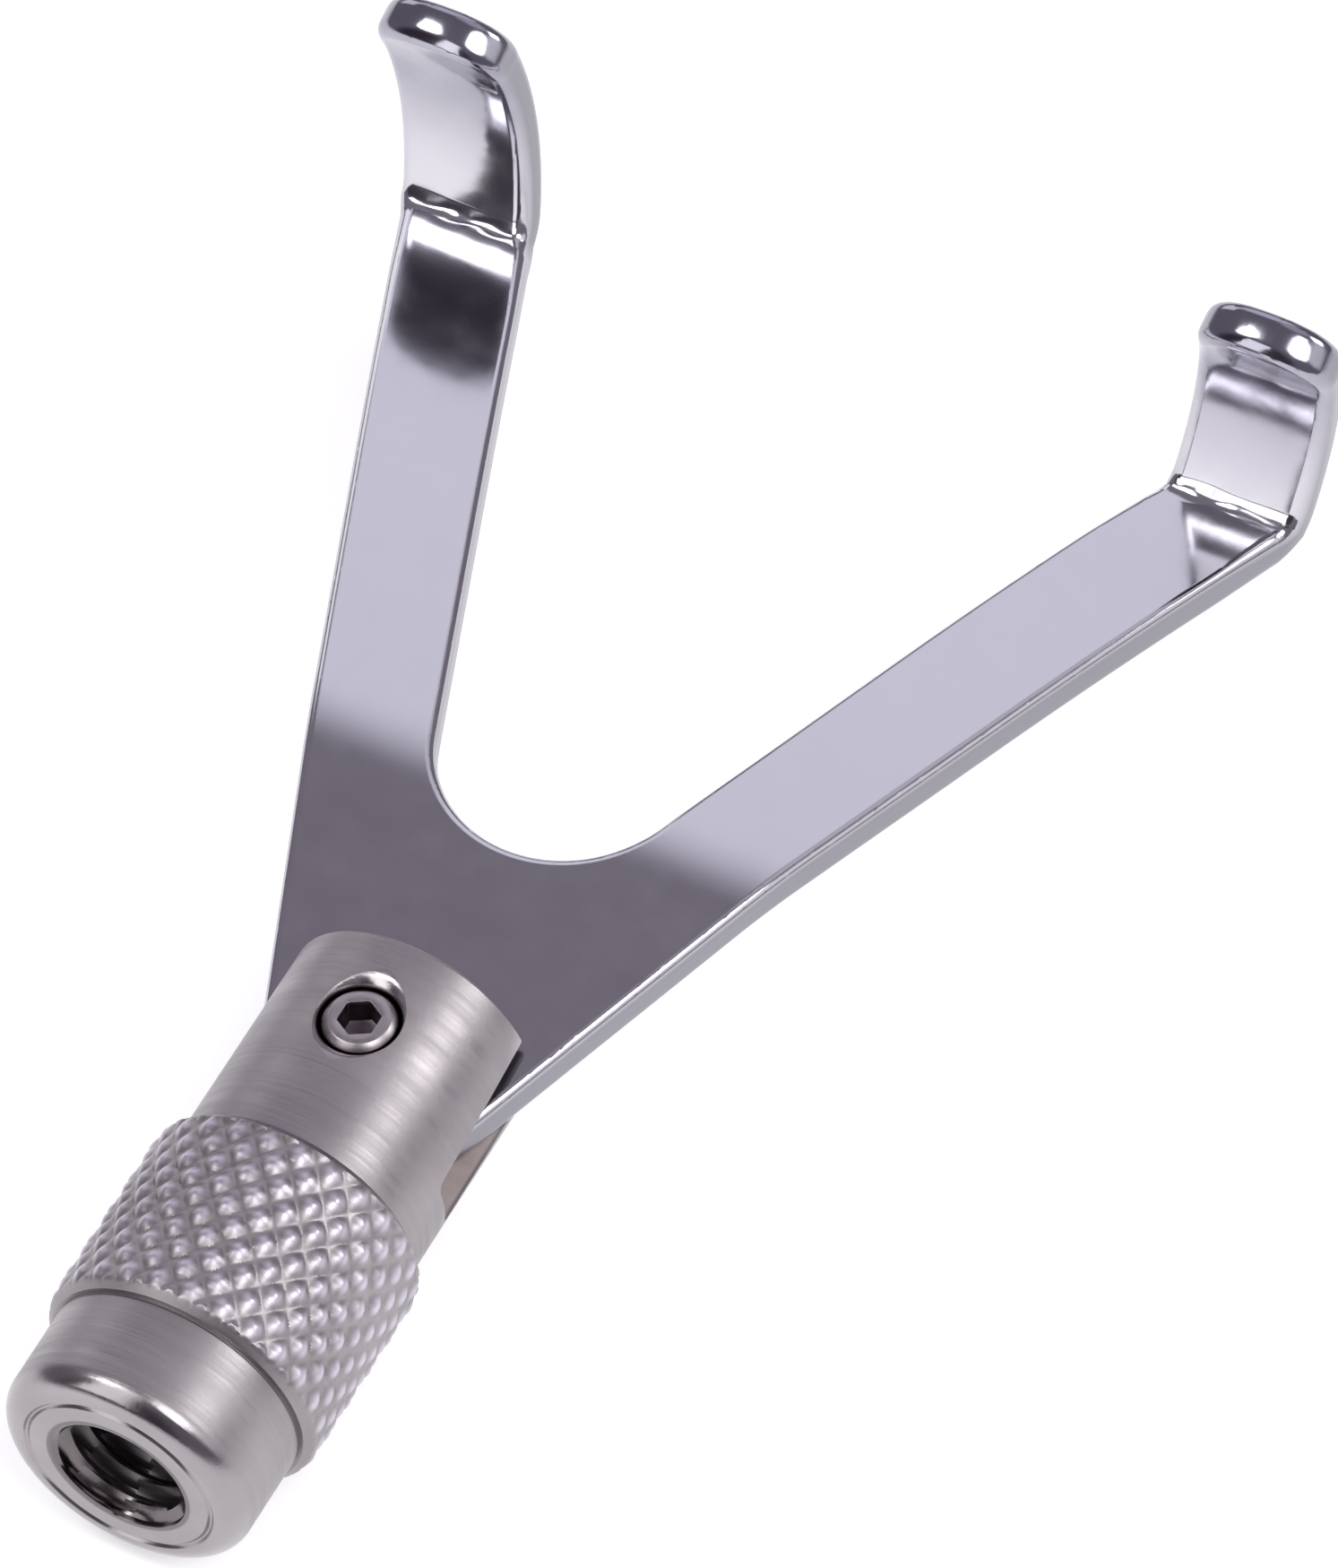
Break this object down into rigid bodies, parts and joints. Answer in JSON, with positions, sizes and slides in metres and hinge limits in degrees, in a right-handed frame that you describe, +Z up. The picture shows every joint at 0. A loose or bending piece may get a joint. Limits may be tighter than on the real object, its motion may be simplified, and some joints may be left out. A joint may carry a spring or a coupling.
{
  "type": "case back opener",
  "caption": "Two-armed key with hooked claws, clamped by a set screw in the slot of a knurled holder; it opens watch case backs.",
  "frame": {"origin": "middle of the object's footprint, level with the lowest line of the knurl", "axes": "+Y along the holder from its threaded end to the claws, +Z up the way the claws stand, +X across the arms"},
  "size_m": [0.0418, 0.0622, 0.0168],
  "materials": {
    "turned_steel": "satin, finely turned, with a diamond knurl",
    "chrome_plate": "polished",
    "dark_steel": "dark, slightly oily"
  },
  "bodies": {
    "holder": {"knurled_holder": "turned_steel"},
    "key": {"forked_key": "chrome_plate"},
    "screw": {"set_screw": "dark_steel"}
  },
  "joints": [
    {"name": "key_slide", "type": "slide", "parent": "holder", "child": "key", "axis": [0, 0.9962, 0.0872], "range_m": [0, 0.008]},
    {"name": "screw_travel", "type": "slide", "parent": "holder", "child": "screw", "axis": [0, 0, 1], "range_m": [0, 0.0045]}
  ]
}
